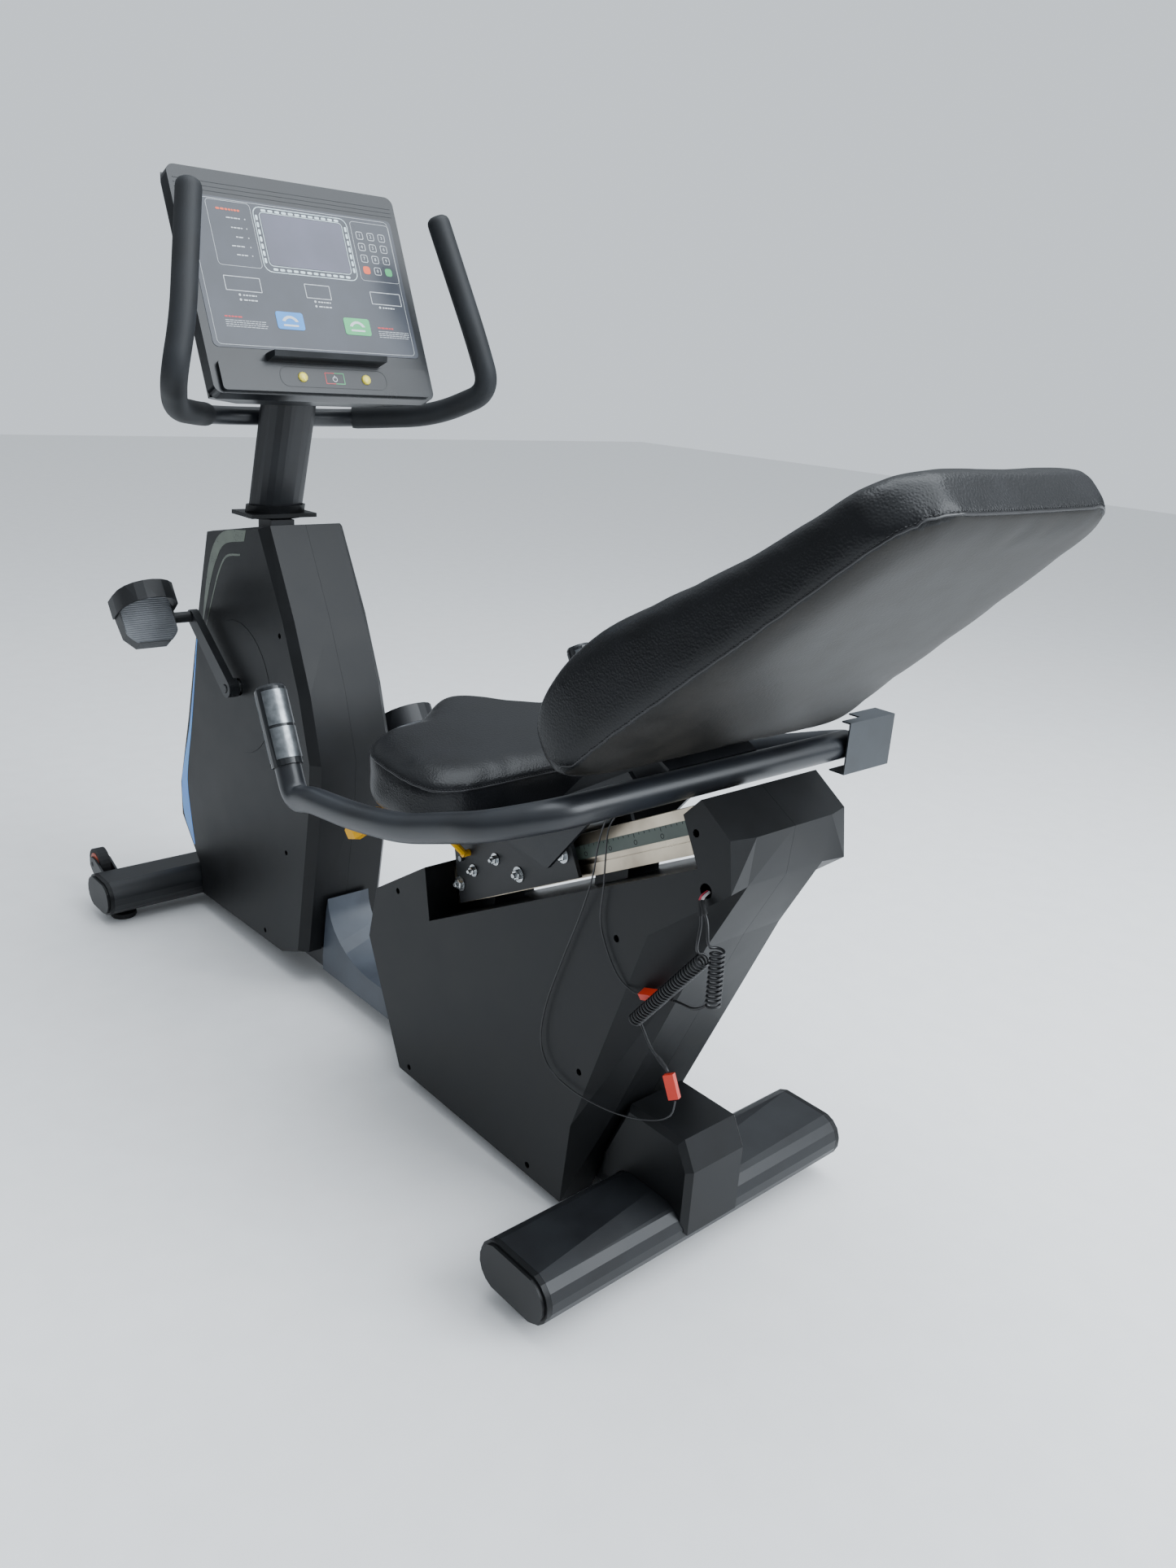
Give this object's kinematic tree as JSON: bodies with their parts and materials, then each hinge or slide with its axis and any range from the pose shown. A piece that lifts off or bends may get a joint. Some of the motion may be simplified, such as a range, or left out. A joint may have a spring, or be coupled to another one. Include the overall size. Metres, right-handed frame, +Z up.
{
  "type": "recumbent exercise bike",
  "caption": "Recumbent exercise bike with reclined sliding seat on an inclined rail, side pulse handles, enclosed crank drive and a tilted console on a mast.",
  "frame": {"origin": "middle of the base, on the floor, measured without the free cords", "axes": "+X forward to the console, +Y to the rider's left, +Z up"},
  "size_m": [1.7864, 0.6408, 1.3451],
  "materials": {
    "frame_paint": "textured powder coat",
    "handle_paint": "satin powder coat",
    "cover_plastic": "fine texture",
    "grey_plastic": "fine texture",
    "console_plastic": "satin",
    "display": "satin overlay film",
    "key_yellow": "gloss",
    "lever_yellow": "gloss",
    "foam": "closed-cell foam",
    "foot_rubber": "matt",
    "belt_rubber": "ribbed",
    "strap_rubber": "satin",
    "wheel": "satin",
    "crank_paint": "satin",
    "pedal_plastic": "ribbed tread",
    "steel": "ground",
    "flywheel_iron": "machined rim",
    "rail_alloy": "satin anodised",
    "carriage_paint": "matt black",
    "grip_plastic": "satin with steel contacts",
    "seat_vinyl": "pebbled vinyl",
    "back_vinyl": "pebbled vinyl",
    "guard_grey": "satin",
    "cord_black": "satin",
    "plug_red": "gloss"
  },
  "bodies": {
    "root": {"main_frame": "frame_paint", "rear_stabilizer": "frame_paint", "front_stabilizer": "frame_paint", "mast": "frame_paint", "handlebar": "handle_paint", "rear_block_cover": "cover_plastic", "beam_cover": "grey_plastic", "mast_collar": "cover_plastic", "console_front": "console_plastic", "console_back": "console_plastic", "display_panel": "display", "foam_grip_left": "foam", "foam_grip_right": "foam", "drive_belt": "belt_rubber", "seat_rail": "rail_alloy", "plug_a": "plug_red", "plug_b": "plug_red", "crank_disc_left": "cover_plastic", "crank_disc_right": "cover_plastic", "end_cap_rear_left": "cover_plastic", "foot_rear_left": "foot_rubber", "rear_shroud_left": "cover_plastic", "end_cap_rear_right": "cover_plastic", "foot_rear_right": "foot_rubber", "rear_shroud_right": "cover_plastic", "end_cap_front_left": "cover_plastic", "foot_front_left": "foot_rubber", "front_shroud_left": "cover_plastic", "end_cap_front_right": "cover_plastic", "foot_front_right": "foot_rubber", "front_shroud_right": "cover_plastic", "coil_leads": "cord_black", "coil_cord_a": "cord_black", "coil_cord_b": "cord_black", "coil_tail_a": "cord_black", "coil_tail_b": "cord_black", "seat_wire_a": "cord_black", "seat_wire_b": "cord_black"},
    "seat": {"seat_carriage": "carriage_paint", "side_handle": "handle_paint", "pulse_grip_left": "grip_plastic", "pulse_grip_right": "grip_plastic", "seat_cushion": "seat_vinyl", "backrest_cushion": "back_vinyl", "tube_guard": "guard_grey"},
    "roller_front": {"roller_front": "steel"},
    "roller_rear": {"roller_rear": "steel"},
    "seat_lever": {"seat_lever": "lever_yellow"},
    "crank": {"crank_axle": "steel", "crank_left": "crank_paint", "crank_right": "crank_paint"},
    "pedal_left": {"pedal_left": "pedal_plastic", "pedal_strap_left": "strap_rubber"},
    "pedal_right": {"pedal_right": "pedal_plastic", "pedal_strap_right": "strap_rubber"},
    "flywheel": {"flywheel": "flywheel_iron"},
    "transport_wheel_left": {"transport_wheel_left": "wheel"},
    "transport_wheel_right": {"transport_wheel_right": "wheel"},
    "key_left": {"key_left": "key_yellow"},
    "key_right": {"key_right": "key_yellow"}
  },
  "joints": [
    {"name": "seat_slide", "type": "slide", "parent": "root", "child": "seat", "axis": [-0.8829, 0, 0.4695], "range_m": [0, 0.2]},
    {"name": "seat_lever_lift", "type": "hinge", "parent": "seat", "child": "seat_lever", "pos_m": [-0.1448, 0, 0.428], "axis": [0, -1, 0], "range_deg": [0, 20], "stiffness_Nm_per_rad": 3, "springref_deg": -11.46},
    {"name": "flywheel_spin", "type": "hinge", "parent": "root", "child": "flywheel", "pos_m": [0.6652, 0, 0.25], "axis": [0, 1, 0], "continuous": true},
    {"name": "crank_spin", "type": "hinge", "parent": "root", "child": "crank", "pos_m": [0.5302, 0, 0.515], "axis": [0, 1, 0], "continuous": true},
    {"name": "pedal_left_spin", "type": "hinge", "parent": "crank", "child": "pedal_left", "pos_m": [0.66489, 0.188, 0.61872], "axis": [0, 1, 0], "continuous": true},
    {"name": "pedal_right_spin", "type": "hinge", "parent": "crank", "child": "pedal_right", "pos_m": [0.39551, -0.188, 0.41128], "axis": [0, 1, 0], "continuous": true},
    {"name": "transport_wheel_left_spin", "type": "hinge", "parent": "root", "child": "transport_wheel_left", "pos_m": [0.8622, 0.23, 0.086], "axis": [0, 1, 0], "continuous": true},
    {"name": "transport_wheel_right_spin", "type": "hinge", "parent": "root", "child": "transport_wheel_right", "pos_m": [0.8622, -0.23, 0.086], "axis": [0, 1, 0], "continuous": true},
    {"name": "roller_front_spin", "type": "hinge", "parent": "seat", "child": "roller_front", "pos_m": [-0.13078, 0, 0.41421], "axis": [0, -1, 0], "continuous": true},
    {"name": "roller_rear_spin", "type": "hinge", "parent": "seat", "child": "roller_rear", "pos_m": [-0.31797, 0, 0.51374], "axis": [0, -1, 0], "continuous": true},
    {"name": "key_left_press", "type": "slide", "parent": "root", "child": "key_left", "axis": [0.9114, 0, -0.4115], "range_m": [0, 0.002], "stiffness_N_per_m": 600, "springref_m": -0.0006},
    {"name": "key_right_press", "type": "slide", "parent": "root", "child": "key_right", "axis": [0.9114, 0, -0.4115], "range_m": [0, 0.002], "stiffness_N_per_m": 600, "springref_m": -0.0006}
  ],
  "couplings": [
    {"joint": "crank_spin", "follows": "flywheel_spin", "ratio": 0.24074},
    {"joint": "roller_front_spin", "follows": "seat_slide", "rad_per_m": 111.11},
    {"joint": "roller_rear_spin", "follows": "seat_slide", "rad_per_m": 111.11}
  ]
}
